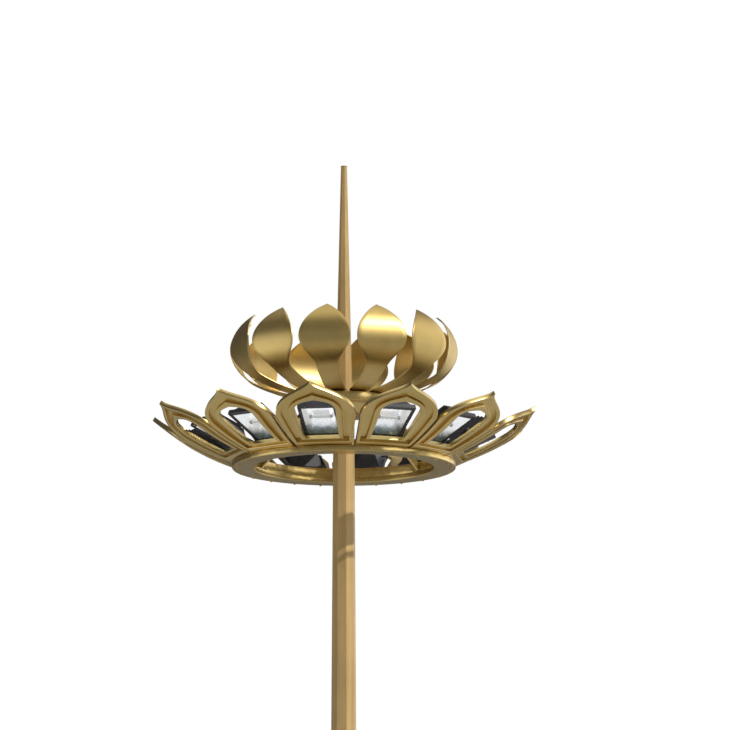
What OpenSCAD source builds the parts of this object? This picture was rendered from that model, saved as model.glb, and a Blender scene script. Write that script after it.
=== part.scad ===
// Lotus high mast floodlight tower.
// A tapered octagonal mast carries a lamp ring with petal frames and floodlights,
// and above it a hub with a whorl of closed petals and an octagonal spire.
// The origin is the centre of the base plate's underside, with +Z up the mast.

/* [Mast] */
// Height of the lamp ring's underside above the base plate's underside
ring_height = 15000; // [12000:100:20000]
// Width across flats of the mast at its top end
mast_top_width = 202; // [180:1:230]
// Width across flats of the mast at the ground
mast_foot_width = 362; // [330:1:400]
// Wall thickness of both mast sections
mast_wall = 8; // [5:0.5:12]
// Height where the upper section starts
splice_height = 7000; // [5000:50:9000]
// Overlap of the two sections at the slip joint
splice_lap = 550; // [400:10:800]

/* [Base] */
// Diameter of the base plate
plate_d = 690; // [620:5:800]
// Thickness of the base plate
plate_t = 32; // [24:1:45]
// Diameter of the circle that the anchor bolts stand on
anchor_circle = 565; // [540:1:600]
// Diameter of each anchor bolt hole
anchor_hole = 40; // [30:1:46]
// Diameter of the cable entry in the middle of the plate
cable_hole = 120; // [80:1:160]
// Height of the gussets between mast and plate
gusset_height = 260; // [150:5:400]
// Reach of the gussets from the mast's face
gusset_reach = 115; // [80:1:125]
// Thickness of the gussets
gusset_t = 14; // [8:1:20]
// Height of the access door's sill
door_sill = 620; // [500:10:1000]
// Width of the access opening
door_w = 112; // [90:1:125]
// Height of the access opening
door_h = 520; // [350:10:700]

/* [Lamp ring] */
// Outer radius of the lamp ring
ring_outer_r = 1120; // [1070:5:1200]
// Width of the lamp ring, from its outer to its inner edge
ring_width = 220; // [190:1:240]
// Depth of the lamp ring
ring_depth = 55; // [40:1:80]
// Height of the rail that stands on the ring's inner edge
rail_h = 90; // [60:1:110]
// Thickness of that rail
rail_t = 12; // [8:1:16]
// Width of the stays that hang the ring from the hub
stay_w = 80; // [50:1:90]
// Thickness of those stays
stay_t = 36; // [20:1:50]

/* [Lower petals] */
// Radius that the petal frames curve up with
petal_curve = 2800; // [2300:10:3600]
// Slope of a petal frame at its foot, in degrees
petal_slope = 20.5; // [18:0.5:24]
// Length of a petal frame from foot to tip
petal_length = 938; // [880:1:1000]
// Share of its 30 degree sector that a petal fills
petal_fill = 0.96; // [0.9:0.005:0.97]
// Place of the shoulder along the petal
petal_shoulder = 0.51; // [0.46:0.01:0.55]
// Depth of the petal's two raised rims
rim_depth = 45; // [30:1:55]
// Thickness of the sunk web between the rims
web_t = 10; // [6:1:16]
// Width of the sill under the petal's window
window_sill = 95; // [70:1:110]

/* [Floodlights] */
// Width of a floodlight's front frame
lamp_w = 390; // [350:1:410]
// Length of a floodlight's front frame
lamp_l = 530; // [480:1:545]
// Place of a floodlight's middle along its petal
lamp_place = 250; // [240:1:270]
// Distance of the tilt axis behind the petal
lamp_offset = 130; // [126:1:150]
// Depth of the tapered housing behind the front frame
lamp_depth = 110; // [90:1:130]
// Radius of the trunnions that a floodlight tilts on
trunnion_r = 10; // [8:0.5:14]

/* [Upper petals] */
// Distance from the mast's axis where an upper petal starts to rise
bloom_start = 265; // [255:1:300]
// Radius of the long sweep that its stem rises with
bloom_sweep_r = 1430; // [1300:5:1600]
// Angle that the stem sweeps through, in degrees
bloom_sweep = 27; // [23:0.5:30]
// Radius of the bend that turns the blade up and over
bloom_bend_r = 367; // [330:1:400]
// Angle above the bend's centre where the tip ends, in degrees
bloom_tip = 57; // [48:0.5:60]
// Share of its 30 degree sector that the blade fills at its widest
bloom_fill = 0.88; // [0.8:0.01:0.93]
// Distance from the tip down to the blade's widest place
bloom_widest = 400; // [360:1:430]
// Distance from the tip down to the neck, where the stem starts
bloom_neck = 740; // [700:1:780]
// Half width of the stem where it leaves the hub
bloom_stem = 100; // [80:1:110]
// Thickness of the petal plate
bloom_t = 14; // [10:1:20]

/* [Hub and spire] */
// Height of the hub's top above the ring's underside
hub_rise = 715; // [680:1:760]
// Radius of the hub's rim
hub_r = 450; // [430:1:480]
// Height of the hub's rim
hub_rim = 90; // [70:1:110]
// Width across flats of the spire at its foot
spire_foot_width = 160; // [140:1:190]
// Width across flats of the spire at its top
spire_top_width = 58; // [45:1:90]
// Length of the spire's shaft
spire_length = 2317; // [1800:1:2800]

/* [Hidden] */
$fn = 96;
petal_count = 12;
sides = 8;
stay_count = 6;
pitch = 360 / petal_count;
sector = tan(pitch / 2);
seat_gap = 0.2;
splice_gap = 0.5;
trunnion_gap = 0.06;
gold = [0.70, 0.57, 0.31];
bronze = [0.55, 0.44, 0.26];
slate = [0.24, 0.25, 0.30];
pane = [0.78, 0.83, 0.88, 0.6];

// The mast ends under a head flange, on which the hub stands.
head_t = 25;
head_r = 200;
hub_foot = 176;
mast_top = ring_height + hub_rise - hub_foot - head_t;
splice_step = 2 * (mast_wall + splice_gap);
mast_taper = (mast_foot_width + splice_step - mast_top_width) / mast_top;
mast_lean = atan(mast_taper / 2);
function upper_width(z) = mast_top_width + mast_taper * (mast_top - z);
function lower_width(z) = upper_width(z) - splice_step;

// The ring's top carries the petals, the rail, the stirrups and the stays.
ring_top = ring_height + ring_depth;
ring_seat = ring_top + seat_gap;
ring_inner_r = ring_outer_r - ring_width;
rail_r = ring_inner_r + 5;
rail_gap = 3;
hub_top = ring_height + hub_rise;
hub_under = hub_top - hub_rim;

// A petal frame's profile is an arc about [arc_r, arc_z] in the petal's own radial plane.
petal_lift = 52;
petal_foot = 70;
petal_half_arc = asin(petal_length / 2 / petal_curve);
petal_mid = petal_slope + petal_half_arc;
foot_r = ring_outer_r;
arc_r = foot_r - petal_curve * sin(petal_slope);
arc_z = ring_top + petal_lift + petal_curve * cos(petal_slope);
mid_r = arc_r + petal_curve * sin(petal_mid);
mid_z = arc_z - petal_curve * cos(petal_mid);
shoulder_x = petal_shoulder * petal_length;
shoulder_r = mid_r + (shoulder_x - petal_length / 2) * cos(petal_mid);
foot_half = petal_fill * foot_r * sector;
shoulder_half = petal_fill * shoulder_r * sector;
window_half = lamp_w / 2 + 10;
window_foot_half = lamp_w / 2 - 30;
window_turn = 0.58 * petal_length;
window_apex = 0.745 * petal_length;

// A floodlight's tilt axis lies behind the petal, square to its arc at lamp_place.
lamp_slope = petal_mid + asin((lamp_place - petal_length / 2) / petal_curve);
pivot_r = arc_r + (petal_curve - lamp_offset) * sin(lamp_slope);
pivot_z = arc_z - (petal_curve - lamp_offset) * cos(lamp_slope);
lamp_front = 70;
lamp_rim = 40;
glass_t = 6;
glass_l = lamp_l - 60;
glass_w = lamp_w - 40;
stirrup_t = 8;
stirrup_w = 50;
stirrup_r = ring_inner_r + 60;
leg_y = lamp_w / 2 + 8 + stirrup_t / 2;

// An upper petal lies flat on the hub, sweeps up along its stem and bends over at its blade.
bloom_seat = hub_top + seat_gap;
sweep_z = bloom_seat + bloom_sweep_r;
bend_r = bloom_start + (bloom_sweep_r - bloom_bend_r) * sin(bloom_sweep);
bend_z = sweep_z - (bloom_sweep_r - bloom_bend_r) * cos(bloom_sweep);
sweep_l = bloom_sweep_r * bloom_sweep * PI / 180;
bend_l = bloom_bend_r * (90 - bloom_sweep + bloom_tip) * PI / 180;
bloom_half = bloom_fill * (bend_r + bloom_bend_r) * sector;
bloom_root = 190;
clamp_r = 255;
clamp_t = 16;
clamp_z = bloom_seat + bloom_t + seat_gap;
spire_foot = clamp_z + clamp_t + seat_gap;
spire_flange_t = 18;

function mix(a, b, q) = a + (b - a) * q;
function bezier(a, b, c, d, t) =
    pow(1 - t, 3) * a + 3 * pow(1 - t, 2) * t * b + 3 * (1 - t) * t * t * c + pow(t, 3) * d;
function mirrored(half) =
    concat(half, [for (i = [len(half) - 1 : -1 : 0]) if (half[i].y > 0) [half[i].x, -half[i].y]]);

// Outlines nested in a petal frame: q = 0 is the outer edge, q = 1 the window's edge.
function petal_edge(q) =
    let (
        start = q == 0 ? -petal_foot : q * window_sill,
        wide = mix(shoulder_half, window_half, q),
        narrow = mix(foot_half, window_foot_half, q),
        turn = mix(shoulder_x, window_turn, q),
        a = [turn, wide],
        b = [mix(0.83 * petal_length, window_apex - 45, q), wide],
        c = [mix(0.87 * petal_length, window_apex - 22, q), mix(60, 105, q)],
        d = [mix(petal_length, window_apex, q), 0]
    )
    concat(
        [[start, mix(narrow, wide, start / turn)]],
        [for (i = [0 : 14]) bezier(a, b, c, d, i / 14)]
    );

// A point on an upper petal's outer face, l along it from where it starts to rise.
function bloom_point(l) =
    let (
        sweep = l / bloom_sweep_r * 180 / PI,
        bend = bloom_sweep + (l - sweep_l) / bloom_bend_r * 180 / PI
    )
    l <= 0 ? [bloom_start + l, bloom_seat]
    : l < sweep_l ? [bloom_start + bloom_sweep_r * sin(sweep), sweep_z - bloom_sweep_r * cos(sweep)]
    : [bend_r + bloom_bend_r * sin(bend), bend_z - bloom_bend_r * cos(bend)];

// The petal's outline is cut square to a line that leans halfway between stem and tip.
bloom_lean = (90 + bloom_tip) / 2;
function bloom_place(l) = bloom_point(l) * [cos(bloom_lean), sin(bloom_lean)];
function bloom_edge() =
    let (
        tip = sweep_l + bend_l,
        root = bloom_root - bloom_start,
        collar = hub_r - bloom_start,
        neck = tip - bloom_neck,
        widest = tip - bloom_widest,
        stem = [
            [root, bloom_root * sector - 18],
            [collar, bloom_stem]
        ],
        blade = [for (i = [0 : 10])
            bezier([neck, 1.12 * bloom_stem], [mix(neck, widest, 0.41), 1.2 * bloom_stem],
                [mix(neck, widest, 0.62), bloom_half], [widest, bloom_half], i / 10)],
        point = [for (i = [1 : 12])
            bezier([widest, bloom_half], [mix(widest, tip, 0.38), bloom_half],
                [mix(widest, tip, 0.74), 0.42 * bloom_half], [tip, 0], i / 12)]
    )
    [for (p = concat(stem, blade, point)) [bloom_place(p.x), p.y]];

module around(k) {
    rotate([0, 0, -90 + pitch * k])
        children();
}

module upright(thickness) {
    rotate([90, 0, 0])
        linear_extrude(height = thickness, center = true)
            children();
}

module tapered_octagon(z0, z1, w0, w1) {
    translate([0, 0, z0])
        rotate([0, 0, 180 / sides])
            cylinder(
                h = z1 - z0,
                r1 = w0 / 2 / cos(180 / sides),
                r2 = w1 / 2 / cos(180 / sides),
                $fn = sides
            );
}

module rounded_plate(length, width, r) {
    square([length - 2 * r, width], center = true);
    square([length, width - 2 * r], center = true);
    for (x = [-1, 1], y = [-1, 1])
        translate([x * (length / 2 - r), y * (width / 2 - r)])
            circle(r, $fn = 32);
}

module frustum(length, width, height, taper) {
    corners = [[-1, -1], [1, -1], [1, 1], [-1, 1]];
    polyhedron(
        points = concat(
            [for (c = corners) [c.x * length / 2, c.y * width / 2, 0]],
            [for (c = corners) [c.x * length * taper / 2, c.y * width * taper / 2, height]]
        ),
        faces = concat(
            [[0, 1, 2, 3], [7, 6, 5, 4]],
            [for (i = [0 : 3]) [i + 4, (i + 1) % 4 + 4, (i + 1) % 4, i]]
        )
    );
}

module on_door_face(z) {
    translate([0, -lower_width(z) / 2, z])
        rotate([90 - mast_lean, 0, 0])
            children();
}

module base_plate() {
    color(bronze)
        difference() {
            cylinder(d = plate_d, h = plate_t);
            translate([0, 0, -1])
                cylinder(d = cable_hole, h = plate_t + 2);
            for (i = [0 : sides - 1])
                rotate([0, 0, (i + 0.5) * 360 / sides])
                    translate([anchor_circle / 2, 0, -1])
                        cylinder(d = anchor_hole, h = plate_t + 2, $fn = 48);
        }
}

module base_gussets() {
    z0 = plate_t;
    z1 = plate_t + gusset_height;
    inner0 = lower_width(z0) / 2 + seat_gap;
    inner1 = lower_width(z1) / 2 + seat_gap;
    color(bronze)
        for (i = [0 : sides - 1])
            rotate([0, 0, i * 360 / sides])
                upright(gusset_t)
                    polygon([
                        [inner0, z0],
                        [inner0 + gusset_reach, z0],
                        [inner0 + gusset_reach, z0 + 30],
                        [inner1 + 22, z1],
                        [inner1, z1]
                    ]);
}

module mast_lower() {
    z0 = plate_t;
    z1 = splice_height + splice_lap;
    zc = door_sill + door_h / 2;
    color(bronze)
        difference() {
            tapered_octagon(z0, z1, lower_width(z0), lower_width(z1));
            tapered_octagon(z0 - 1, z1 + 1,
                lower_width(z0 - 1) - 2 * mast_wall, lower_width(z1 + 1) - 2 * mast_wall);
            on_door_face(zc)
                translate([0, 0, -3 * mast_wall])
                    linear_extrude(height = 4 * mast_wall)
                        rounded_plate(door_w, door_h, 30);
        }
}

module mast_upper() {
    z0 = splice_height;
    z1 = mast_top - seat_gap;
    color(bronze)
        difference() {
            tapered_octagon(z0, z1, upper_width(z0), upper_width(z1));
            tapered_octagon(z0 - 1, z1 + 1,
                upper_width(z0 - 1) - 2 * mast_wall, upper_width(z1 + 1) - 2 * mast_wall);
        }
}

module access_door() {
    zc = door_sill + door_h / 2;
    color(bronze)
        on_door_face(zc)
            translate([0, 0, seat_gap]) {
                linear_extrude(height = 5)
                    rounded_plate(door_w + 20, door_h + 30, 36);
                for (y = [-1, 1])
                    translate([0, y * (door_h / 2 - 40), 4])
                        cylinder(r = 11, h = 8, $fn = 32);
            }
}

module mast_head() {
    color(bronze)
        translate([0, 0, mast_top])
            cylinder(r = head_r, h = head_t - seat_gap);
}

module ring_beam() {
    edge = 5;
    color(gold)
        rotate_extrude($fn = 180)
            polygon([
                [ring_inner_r + edge, ring_height],
                [ring_outer_r - edge, ring_height],
                [ring_outer_r, ring_height + edge],
                [ring_outer_r, ring_top],
                [ring_inner_r, ring_top],
                [ring_inner_r, ring_height + edge]
            ]);
}

// The rail stops short of each stay, which leans in through the slot.
module lamp_rail() {
    slot = stay_t + 2 * rail_gap;
    color(gold)
        difference() {
            translate([0, 0, ring_seat])
                rotate_extrude($fn = 180)
                    translate([rail_r, 0])
                        square([rail_t, rail_h]);
            for (i = [0 : stay_count - 1])
                around(2 * i + 0.5)
                    translate([ring_inner_r, -slot / 2, ring_top])
                        cube([ring_width / 2, slot, 2 * rail_h]);
        }
}

module ring_stays() {
    low = ring_inner_r + 12;
    high = hub_r - 120;
    top = hub_under - seat_gap;
    color(gold)
        for (i = [0 : stay_count - 1])
            around(2 * i + 0.5)
                upright(stay_t)
                    polygon([
                        [low, ring_seat],
                        [low + stay_w, ring_seat],
                        [high + stay_w, top],
                        [high, top]
                    ]);
}

module petal_arc(inner, outer) {
    translate([arc_r, 0, arc_z])
        upright(4 * shoulder_half)
            difference() {
                circle(outer, $fn = 360);
                circle(inner, $fn = 360);
            }
}

module petal_band(q0, q1) {
    translate([mid_r, 0, mid_z])
        rotate([0, -petal_mid, 0])
            translate([-petal_length / 2, 0, -200])
                linear_extrude(height = 400)
                    difference() {
                        polygon(mirrored(petal_edge(q0)));
                        polygon(mirrored(petal_edge(q1)));
                    }
}

module lower_petal(k) {
    color(gold)
        around(k)
            difference() {
                intersection() {
                    petal_band(0, 1);
                    petal_arc(petal_curve, petal_curve + rim_depth);
                }
                intersection() {
                    petal_band(0.27, 0.70);
                    petal_arc(petal_curve + web_t, petal_curve + rim_depth + 20);
                }
                translate([foot_r - shoulder_half, -shoulder_half, ring_height])
                    cube([2 * shoulder_half, 2 * shoulder_half, ring_seat - ring_height]);
            }
}

module at_lamp(k) {
    around(k)
        translate([pivot_r, 0, pivot_z])
            rotate([0, -lamp_slope, 0])
                children();
}

module stirrups() {
    reach = sqrt(pow(pivot_r - stirrup_r, 2) + pow(pivot_z - ring_seat, 2));
    across = [-(pivot_z - ring_seat), pivot_r - stirrup_r] * stirrup_w / 2 / reach;
    pivot = [pivot_r, pivot_z];
    color(slate)
        for (k = [0 : petal_count - 1])
            around(k) {
                translate([stirrup_r - 30, -leg_y - stirrup_t / 2, ring_seat])
                    cube([60, 2 * leg_y + stirrup_t, stirrup_t]);
                for (y = [-1, 1])
                    translate([0, y * leg_y, 0])
                        upright(stirrup_t)
                            difference() {
                                union() {
                                    polygon([
                                        [stirrup_r - 30, ring_seat],
                                        [stirrup_r + 30, ring_seat],
                                        pivot - across,
                                        pivot + across
                                    ]);
                                    translate(pivot)
                                        circle(stirrup_w / 2, $fn = 48);
                                }
                                translate(pivot)
                                    circle(trunnion_r + trunnion_gap, $fn = 48);
                            }
            }
}

module lamp_housing() {
    body_l = lamp_l - 40;
    body_w = lamp_w - 40;
    translate([0, 0, -lamp_front])
        linear_extrude(height = lamp_rim)
            rounded_plate(lamp_l, lamp_w, 18);
    translate([0, 0, lamp_rim - lamp_front - 1])
        frustum(body_l, body_w, lamp_depth, 0.7);
    for (i = [-3 : 3])
        translate([-0.3 * body_l, i * body_w / 11 - 3, lamp_depth - lamp_front + 30])
            cube([0.6 * body_l, 6, 35]);
}

module lamp_cavity() {
    back = glass_t - lamp_front + 4;
    translate([0, 0, -lamp_front - 1])
        linear_extrude(height = 6)
            square([glass_l - 30, glass_w - 30], center = true);
    translate([0, 0, 4 - lamp_front])
        linear_extrude(height = glass_t + 0.3)
            square([glass_l + 0.6, glass_w + 0.6], center = true);
    translate([0, 0, back])
        frustum(glass_l - 20, glass_w - 20, lamp_depth - 10, 0.5);
}

module floodlight(k) {
    side = 0.38 * lamp_w;
    color(slate)
        at_lamp(k) {
            difference() {
                lamp_housing();
                lamp_cavity();
            }
            for (y = [-1, 1])
                rotate([-90 * y, 0, 0])
                    translate([0, 0, side]) {
                        cylinder(r = trunnion_r, h = leg_y + stirrup_t / 2 + 4 - side, $fn = 48);
                        translate([0, 0, leg_y + stirrup_t / 2 + 2 - side])
                            cylinder(r = 2 * trunnion_r, h = 10, $fn = 48);
                    }
            translate([0, 0, -10])
                rotate([90, 0, 0])
                    cylinder(r = 12, h = 0.66 * glass_w, center = true, $fn = 32);
        }
}

module glass(k) {
    color(pane)
        at_lamp(k)
            translate([-glass_l / 2, -glass_w / 2, 4 - lamp_front])
                cube([glass_l, glass_w, glass_t]);
}

module hub() {
    color(gold)
        rotate_extrude()
            polygon([
                [0, hub_top - hub_foot],
                [head_r, hub_top - hub_foot],
                [head_r + 95, hub_under],
                [hub_r - 6, hub_under],
                [hub_r, hub_under + 6],
                [hub_r, hub_top - 6],
                [hub_r - 6, hub_top],
                [0, hub_top]
            ]);
}

// The area on the hollow side of a petal's outer line, moved in by the given amount.
module bloom_hollow(inset) {
    far = 4 * bloom_sweep_r;
    translate([bloom_root, bloom_seat + inset])
        square([bloom_start - bloom_root, bloom_sweep_r - inset]);
    translate([bloom_start, sweep_z])
        intersection() {
            circle(bloom_sweep_r - inset, $fn = 360);
            polygon([[0, 0], [-far * tan(3), -far], [far * tan(bloom_sweep), -far]]);
        }
    translate([bend_r, bend_z])
        circle(bloom_bend_r - inset, $fn = 360);
}

module bloom_profile() {
    far = 4 * bloom_sweep_r;
    difference() {
        bloom_hollow(0);
        bloom_hollow(bloom_t);
        translate([bend_r, bend_z])
            polygon([[0, 0], far * [cos(bloom_tip), sin(bloom_tip)], far * [-1, 1]]);
    }
}

module upper_petals() {
    color(gold)
        for (k = [0 : petal_count - 1])
            around(k)
                intersection() {
                    upright(3 * bloom_half)
                        bloom_profile();
                    rotate([0, -bloom_lean, 0])
                        translate([0, 0, -2 * hub_top])
                            linear_extrude(height = 4 * hub_top)
                                polygon(mirrored(bloom_edge()));
                }
}

module petal_clamp() {
    color(gold)
        translate([0, 0, clamp_z])
            cylinder(r = clamp_r, h = clamp_t);
}

module spire() {
    z0 = spire_foot + spire_flange_t;
    color(bronze) {
        translate([0, 0, spire_foot])
            cylinder(r = spire_foot_width / 2 + 70, h = spire_flange_t);
        tapered_octagon(z0, z0 + spire_length, spire_foot_width, spire_top_width);
    }
}

function two_digits(k) = k < 9 ? str("0", k + 1) : str(k + 1);
function series(name) = [for (k = [0 : petal_count - 1]) str(name, two_digits(k))];
petal_names = series("lower_petal_");
light_names = series("floodlight_");
glass_names = series("glass_");

base_plate();
base_gussets();
mast_lower();
access_door();
mast_upper();
mast_head();
ring_beam();
lamp_rail();
ring_stays();
stirrups();
hub();
upper_petals();
petal_clamp();
spire();
for (k = [0 : petal_count - 1]) {
    lower_petal(k);
    floodlight(k);
    glass(k);
}
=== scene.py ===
"""Looks of a lotus-shaped high mast floodlight tower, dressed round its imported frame."""

import logging
import math
from dataclasses import dataclass
from enum import Enum
from typing import Iterable, Sequence, Union

import bmesh
import bpy
from mathutils import Matrix, Vector


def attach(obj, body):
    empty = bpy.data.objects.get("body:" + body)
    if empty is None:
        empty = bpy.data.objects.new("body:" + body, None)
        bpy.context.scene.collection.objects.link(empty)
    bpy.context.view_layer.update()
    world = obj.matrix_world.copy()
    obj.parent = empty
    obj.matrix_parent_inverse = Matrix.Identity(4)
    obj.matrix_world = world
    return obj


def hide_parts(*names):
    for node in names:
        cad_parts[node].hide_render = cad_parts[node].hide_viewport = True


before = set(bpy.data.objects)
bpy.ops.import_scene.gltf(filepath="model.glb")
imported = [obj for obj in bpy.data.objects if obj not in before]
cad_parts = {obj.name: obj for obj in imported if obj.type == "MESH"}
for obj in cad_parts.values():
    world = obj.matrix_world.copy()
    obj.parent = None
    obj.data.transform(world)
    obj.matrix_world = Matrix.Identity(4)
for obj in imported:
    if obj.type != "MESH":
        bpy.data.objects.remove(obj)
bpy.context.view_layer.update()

LOG = logging.getLogger("lotus_mast")

Pair = tuple[float, float]
Triple = tuple[float, float, float]
Colour = Triple
Profile = Sequence[Pair]
Operand = Union["Value", float]
Inputs = dict[Union[str, int], object]

TOWER = "tower"
BOTH = (-1, 1)
PETALS = 12
PITCH = 360.0 / PETALS
SECTOR = math.tan(math.radians(PITCH / 2))
FLATS = 8
FLAT_PITCH = 360.0 / FLATS
HALF_FLAT = FLAT_PITCH / 2

# How sharp edges of CAD nodes are eased, and three widths of easing.
JOIN_DISTANCE = 1e-5
EASE_LIMIT = math.radians(28)
EASE_STEPS = 2
FINE_EDGE, EDGE, BROAD_EDGE = 0.0015, 0.002, 0.003
# Angles in degrees above which an edge of an added piece stays sharp.
CREASE, FINE_CREASE = 38.0, 20.0
# The middle row of an eased edge lies at this share of its fillet.
EASE_MIDDLE = 0.3
# Steps round the corner of a rectangle and of an octagon.
CORNER_STEPS = 5
OCTAGON_STEPS = 4
# Radius and height of a washer by the thread's diameter, and of a nut by its corner and height.
WASHER: Profile = ((1.0, 0.0), (1.05, 0.04), (1.05, 0.12), (1.0, 0.16))
NUT: Profile = ((0.93, 0.0), (1.0, 0.12), (1.0, 0.88), (0.9, 1.0))
# A nut's width across flats and its height, by the thread's diameter.
NUT_ACROSS, NUT_HEIGHT = 1.6, 0.82
# Swell and rhythm of a bead's ripples, and how near to upright a bead takes another side.
RIPPLE, RIPPLE_STEP = 0.08, 2.3
STEEP = 1e-4


class Slot(Enum):
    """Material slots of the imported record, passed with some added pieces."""

    GOLD = "gold"
    BRONZE = "bronze"
    HOUSING = "housing"


def spin(degrees: float, axis: str = "Z") -> Matrix:
    """Rotation about an axis by an angle in degrees."""
    return Matrix.Rotation(math.radians(degrees), 4, axis)


def shift(x: float, y: float, z: float) -> Matrix:
    """Move by a vector."""
    return Matrix.Translation((x, y, z))


def polar(radius: float, degrees: float, z: float = 0.0) -> Vector:
    """Point at a radius and an angle round Z."""
    a = math.radians(degrees)
    return Vector((radius * math.cos(a), radius * math.sin(a), z))


def mix(a: float, b: float, q: float) -> float:
    """Blend of a and b, with a at q 0 and b at q 1."""
    return a + (b - a) * q


def bezier(a: Pair, b: Pair, c: Pair, d: Pair, steps: int) -> list[Pair]:
    """Points of a cubic curve.

    Args:
        a: Start point.
        b: First handle.
        c: Second handle.
        d: End point.
        steps: Parts that the curve is divided into.

    Returns:
        The points, both ends included.
    """
    out = []
    for i in range(steps + 1):
        t = i / steps
        s = 1 - t
        shares = (s**3, 3 * s * s * t, 3 * s * t * t, t**3)
        out.append(
            tuple(sum(w * p[n] for w, p in zip(shares, (a, b, c, d))) for n in range(2))
        )
    return out


DOWN = spin(180, "X")
# Rotations that carry a petal's place, counted from the front, and a mast's corner round Z.
PETAL_TURNS = [spin(-90 + PITCH * k) for k in range(PETALS)]
CORNER_TURNS = [spin(HALF_FLAT + FLAT_PITCH * i) for i in range(FLATS)]


class Value:
    """A shader socket that takes part in Python arithmetic."""

    def __init__(self, graph: "Graph", socket: bpy.types.NodeSocket) -> None:
        """Wraps a socket of a graph."""
        self.graph = graph
        self.socket = socket

    def _math(self, operation: str, left: Operand, right: Operand) -> "Value":
        """Result of one Math node on two operands."""
        return self.graph.value("Math", {0: left, 1: right}, operation=operation)

    def __add__(self, other: Operand) -> "Value":
        """Sum of two values."""
        return self._math("ADD", self, other)

    __radd__ = __add__

    def __sub__(self, other: Operand) -> "Value":
        """Difference of two values."""
        return self._math("SUBTRACT", self, other)

    def __rsub__(self, other: Operand) -> "Value":
        """Difference with this value on the right."""
        return self._math("SUBTRACT", other, self)

    def __mul__(self, other: Operand) -> "Value":
        """Product of two values."""
        return self._math("MULTIPLY", self, other)

    __rmul__ = __mul__

    def __abs__(self) -> "Value":
        """Size of the value without its sign."""
        return self._math("ABSOLUTE", self, 0.0)

    def swing(self, amount: float, middle: float = 0.5) -> "Value":
        """Departure of the value from a middle, times an amount."""
        return amount * (self - middle)


@dataclass(frozen=True)
class Grain:
    """Size of a noise: clouds for each metre, octaves, and a stretch of each axis."""

    scale: float
    detail: float = 3.0
    stretch: Triple | None = None
    roughness: float = 0.55


class Graph:
    """A node tree that is filled through one method."""

    def __init__(self, tree: bpy.types.NodeTree) -> None:
        """Takes over a node tree and empties it."""
        self.tree = tree
        tree.nodes.clear()

    def add(
        self, kind: str, inputs: Inputs | None = None, **settings: object
    ) -> bpy.types.Node:
        """Adds a node of any type.

        Args:
            kind: The node's type, without the prefix of all shader nodes.
            inputs: Numbers or values of the node's sockets, by name or number.
            settings: Properties that are set before the inputs.

        Returns:
            The new node.
        """
        node = self.tree.nodes.new("ShaderNode" + kind)
        for name, setting in settings.items():
            setattr(node, name, setting)
        for name, source in (inputs or {}).items():
            if isinstance(source, Value):
                self.tree.links.new(source.socket, node.inputs[name])
            else:
                node.inputs[name].default_value = source
        return node

    def value(
        self,
        kind: str,
        inputs: Inputs | None = None,
        output: str | int = 0,
        **settings: object,
    ) -> Value:
        """One output of a new node; the other arguments are those of add."""
        return Value(self, self.add(kind, inputs, **settings).outputs[output])

    def place(self) -> Value:
        """Object coordinates, which are metres in the part's own frame."""
        return self.value("TexCoord", output="Object")

    def height(self) -> Value:
        """Height over the ground in metres."""
        return self.value("SeparateXYZ", {0: self.place()}, "Z")

    def noise(self, grain: Grain) -> Value:
        """Cloudy noise.

        Args:
            grain: Its size.

        Returns:
            A value of about 0.3 to 0.7.
        """
        place = self.place()
        if grain.stretch is not None:
            place = self.value("Mapping", {"Vector": place, "Scale": grain.stretch})
        size = {"Scale": grain.scale, "Detail": grain.detail, "Roughness": grain.roughness}
        return self.value("TexNoise", {"Vector": place, **size}, "Fac")

    def cells(self, scale: float, feature: str = "F1") -> Value:
        """Distance from the middle of scattered cells, so many for each metre."""
        inputs = {"Vector": self.place(), "Scale": scale}
        return self.value("TexVoronoi", inputs, "Distance", feature=feature)

    def ramp(self, factor: Operand, low: float, high: float) -> Value:
        """Smooth step of a factor from 0 at low to 1 at high."""
        inputs = {"Value": factor, "From Min": low, "From Max": high}
        return self.value("MapRange", inputs, interpolation_type="SMOOTHSTEP")

    def blend(self, factor: Operand, a: Colour | Value, b: Colour | Value) -> Value:
        """Mix of two colours, by the share of the second."""
        first, second = [(*c, 1.0) if isinstance(c, tuple) else c for c in (a, b)]
        return self.value("Mix", {0: factor, 6: first, 7: second}, 2, data_type="RGBA")

    def wear(self) -> Value:
        """Mask of worn edges that the mesh carries."""
        return self.value("Attribute", output="Fac", attribute_name="wear")

    def bump(self, height: Value, strength: float, depth: float) -> Value:
        """Normal bent by a height field, by the share that shows and a depth in metres."""
        return self.value("Bump", {"Height": height, "Strength": strength, "Distance": depth})

    def surface(self, inputs: Inputs) -> None:
        """Ends the tree in a Principled surface with the given inputs."""
        self.add("OutputMaterial", {"Surface": self.value("BsdfPrincipled", inputs)})


@dataclass(frozen=True)
class Finish:
    """A named surface finish; each kind says how its nodes look."""

    name: str

    def shade(self, graph: Graph) -> None:
        """Fills the material's nodes."""
        raise NotImplementedError

    def material(self) -> bpy.types.Material:
        """The finish's material, made once and shared by all its pieces.

        Returns:
            The material.
        """
        found = bpy.data.materials.get(self.name)
        if found is None:
            found = bpy.data.materials.new(self.name)
            found.use_nodes = True
            self.shade(Graph(found.node_tree))
        return found


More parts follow.
